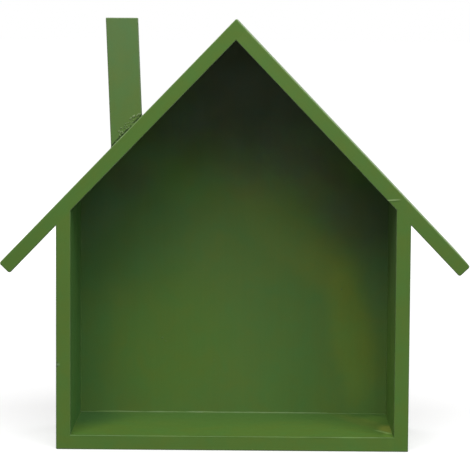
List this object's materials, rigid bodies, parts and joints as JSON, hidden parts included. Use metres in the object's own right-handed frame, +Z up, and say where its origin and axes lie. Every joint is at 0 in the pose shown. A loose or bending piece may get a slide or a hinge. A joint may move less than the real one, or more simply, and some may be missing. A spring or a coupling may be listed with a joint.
{
  "type": "house-shaped wall shelf",
  "caption": "Open-fronted wall shelf shaped like a house outline, with overhanging eaves, a closed back and a chimney, painted matt green.",
  "frame": {"origin": "middle of the overall footprint, level with the underside of the floor board; the ridge stands over X = 0", "axes": "+Z up, the open front faces -Y, the wall is on the +Y side, +X to the right seen from the front"},
  "size_m": [0.3838, 0.12, 0.3543],
  "materials": {
    "green_paint": "matt green paint",
    "painted_panel": "matt green paint on the front, bare board behind",
    "filler": "painted over",
    "brad_steel": "bright",
    "zinc_plate": "zinc plated",
    "screw_steel": "zinc plated"
  },
  "bodies": {
    "root": {"floor_board": "green_paint", "left_side": "green_paint", "right_side": "green_paint", "left_roof_board": "green_paint", "right_roof_board": "green_paint", "chimney": "green_paint", "floor_brads_left": "brad_steel", "floor_brads_right": "brad_steel", "eave_brads_left": "brad_steel", "eave_brads_right": "brad_steel", "ridge_brads": "brad_steel", "chimney_brads": "brad_steel", "back_panel": "painted_panel", "nail_filler": "filler", "left_hanger_plate": "zinc_plate", "right_hanger_plate": "zinc_plate", "left_hanger_screws": "screw_steel", "right_hanger_screws": "screw_steel"}
  },
  "joints": []
}
